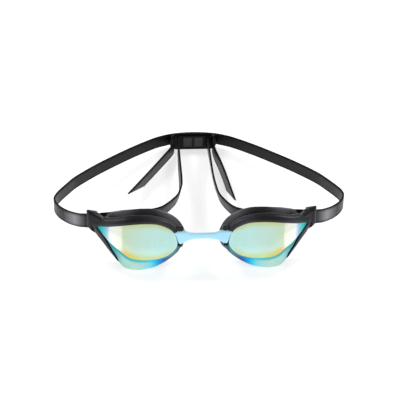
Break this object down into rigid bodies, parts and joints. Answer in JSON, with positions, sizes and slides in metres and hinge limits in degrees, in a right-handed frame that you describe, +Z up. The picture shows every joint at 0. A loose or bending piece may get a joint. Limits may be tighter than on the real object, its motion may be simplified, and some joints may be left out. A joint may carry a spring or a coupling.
{
  "type": "swim goggles",
  "caption": "Low-profile racing swim goggles with mirrored teardrop lenses, soft gaskets, a slim nose bridge, a doubled silicone strap and a rear adjuster clip.",
  "frame": {"origin": "middle of the footprint, on the surface that the goggles rest on", "axes": "+X to the wearer's left, +Y from the lenses towards the rear clip, +Z up from the table"},
  "size_m": [0.2106, 0.1585, 0.0384],
  "materials": {
    "lens_mirror": "green, gold and blue mirror coating",
    "frame_plastic": "satin charcoal",
    "gasket_silicone": "satin black silicone",
    "strap_silicone": "satin black silicone, faint grain",
    "bridge_plastic": "light blue, satin",
    "clip_plastic": "gloss black"
  },
  "bodies": {
    "strap_anchors": {"left_strap_slot": "strap_silicone", "right_strap_slot": "strap_silicone"},
    "left_cup": {"left_lens": "lens_mirror", "left_frame": "frame_plastic", "left_gasket": "gasket_silicone"},
    "right_cup": {"right_lens": "lens_mirror", "right_frame": "frame_plastic", "right_gasket": "gasket_silicone"},
    "bridge": {"nose_bridge": "bridge_plastic"},
    "strap": {"left_strap_bend": "strap_silicone", "right_strap_bend": "strap_silicone", "left_inner_bend": "strap_silicone", "right_inner_bend": "strap_silicone"},
    "rear": {"rear_clip": "clip_plastic", "rear_strap": "strap_silicone", "left_strap_side": "strap_silicone", "right_strap_side": "strap_silicone", "left_strap_return": "strap_silicone", "right_strap_return": "strap_silicone", "left_strap_loop": "strap_silicone", "right_strap_loop": "strap_silicone"},
    "left_tail": {"left_tail": "strap_silicone"},
    "right_tail": {"right_tail": "strap_silicone"}
  },
  "joints": [
    {"name": "left_cup_flex", "type": "hinge", "parent": "strap_anchors", "child": "left_cup", "pos_m": [0.077, -0.06753, 0.03055], "axis": [0, 0.342, 0.9397], "range_deg": [-3, 3], "stiffness_Nm_per_rad": 0.2},
    {"name": "right_cup_flex", "type": "hinge", "parent": "strap_anchors", "child": "right_cup", "pos_m": [-0.077, -0.06753, 0.03055], "axis": [0, 0.342, 0.9397], "range_deg": [-3, 3]},
    {"name": "bridge_pivot", "type": "hinge", "parent": "left_cup", "child": "bridge", "pos_m": [0.0156, -0.07043, 0.02256], "axis": [0, 0.342, 0.9397], "range_deg": [-3, 3]},
    {"name": "strap_swing", "type": "hinge", "parent": "strap_anchors", "child": "strap", "pos_m": [0, -0.05343, 0.02542], "axis": [1, 0, 0], "range_deg": [-20, 45], "stiffness_Nm_per_rad": 0.15},
    {"name": "strap_stretch", "type": "slide", "parent": "strap", "child": "rear", "axis": [0, 1, 0], "range_m": [0, 0.03], "stiffness_N_per_m": 150},
    {"name": "left_tail_swing", "type": "hinge", "parent": "rear", "child": "left_tail", "pos_m": [0.0162, 0.07035, 0.00675], "axis": [0, 0, 1], "range_deg": [-6, 26], "stiffness_Nm_per_rad": 0.001},
    {"name": "right_tail_swing", "type": "hinge", "parent": "rear", "child": "right_tail", "pos_m": [-0.0162, 0.07035, 0.00675], "axis": [0, 0, 1], "range_deg": [-8, 22], "stiffness_Nm_per_rad": 0.001}
  ],
  "couplings": [
    {"joint": "right_cup_flex", "follows": "left_cup_flex", "ratio": -1},
    {"joint": "bridge_pivot", "follows": "left_cup_flex", "ratio": -1}
  ]
}
